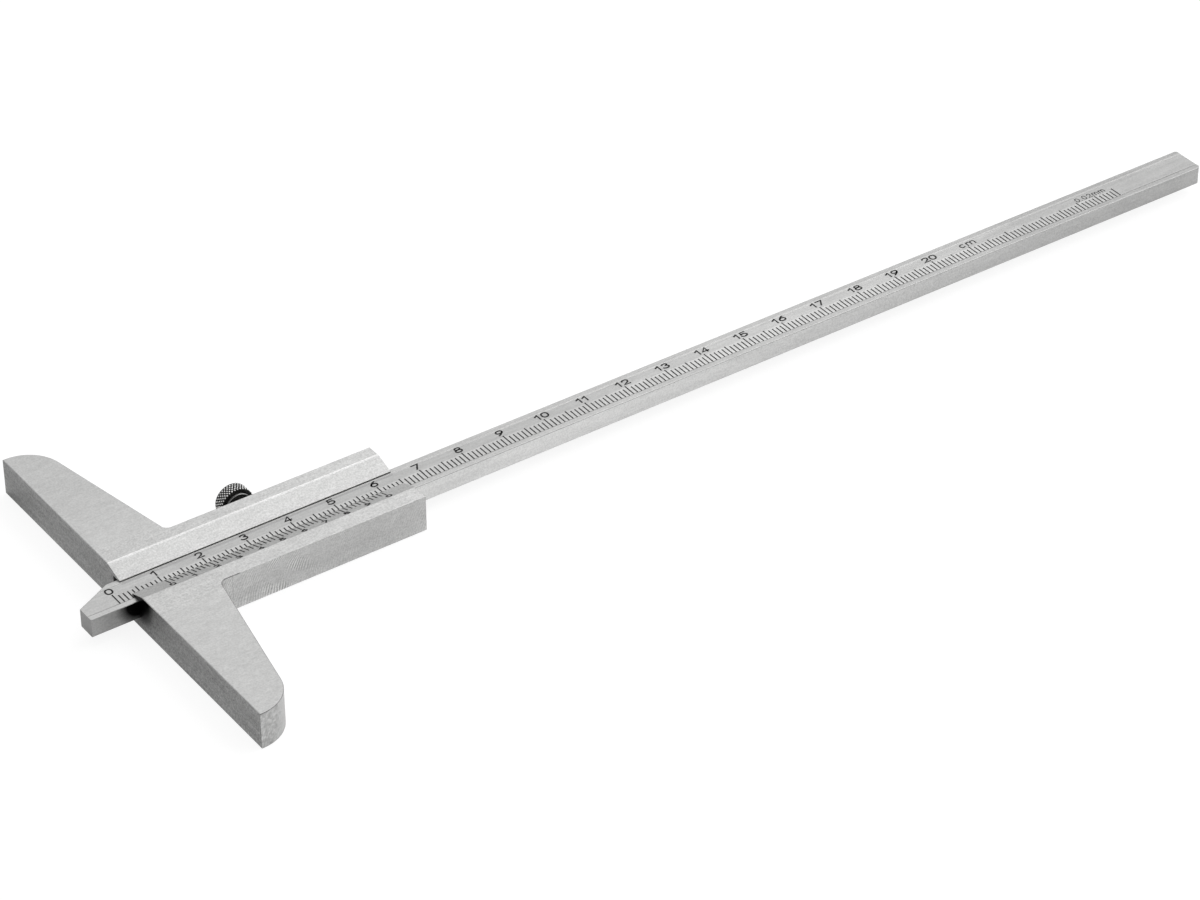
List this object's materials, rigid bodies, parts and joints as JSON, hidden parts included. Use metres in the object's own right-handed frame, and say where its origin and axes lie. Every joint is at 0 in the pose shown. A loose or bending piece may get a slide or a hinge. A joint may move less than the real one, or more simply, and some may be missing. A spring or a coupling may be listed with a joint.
{
  "type": "vernier depth caliper",
  "caption": "Steel depth caliper: T-shaped base with tapered wings, a graduated beam sliding in its arm between bevelled lips, vernier scale and knurled lock screw.",
  "frame": {"origin": "on the flat back face of the frame, straight under the beam's centreline and the vernier's zero line", "axes": "+X along the beam from its measuring tip to its far end, +Y towards the lock screw, +Z out of the graduated top, so the part lies flat on its back face"},
  "size_m": [0.279, 0.0975, 0.0082],
  "materials": {
    "frame_steel": "satin",
    "beam_steel": "fine brushed",
    "screw_steel": "turned",
    "spring_bronze": "rolled strip"
  },
  "bodies": {
    "frame": {"frame": "frame_steel", "gib_spring": "spring_bronze"},
    "beam": {"beam": "beam_steel"},
    "lock_screw": {"lock_screw": "screw_steel"}
  },
  "joints": [
    {"name": "beam_slide", "type": "slide", "parent": "frame", "child": "beam", "axis": [-1, 0, 0], "range_m": [-0.0104, 0.1896]},
    {"name": "lock_screw_turn", "type": "hinge", "parent": "frame", "child": "lock_screw", "pos_m": [0.02545, 0.01, 0.00445], "axis": [0, 1, 0], "range_deg": [0, 360]}
  ]
}
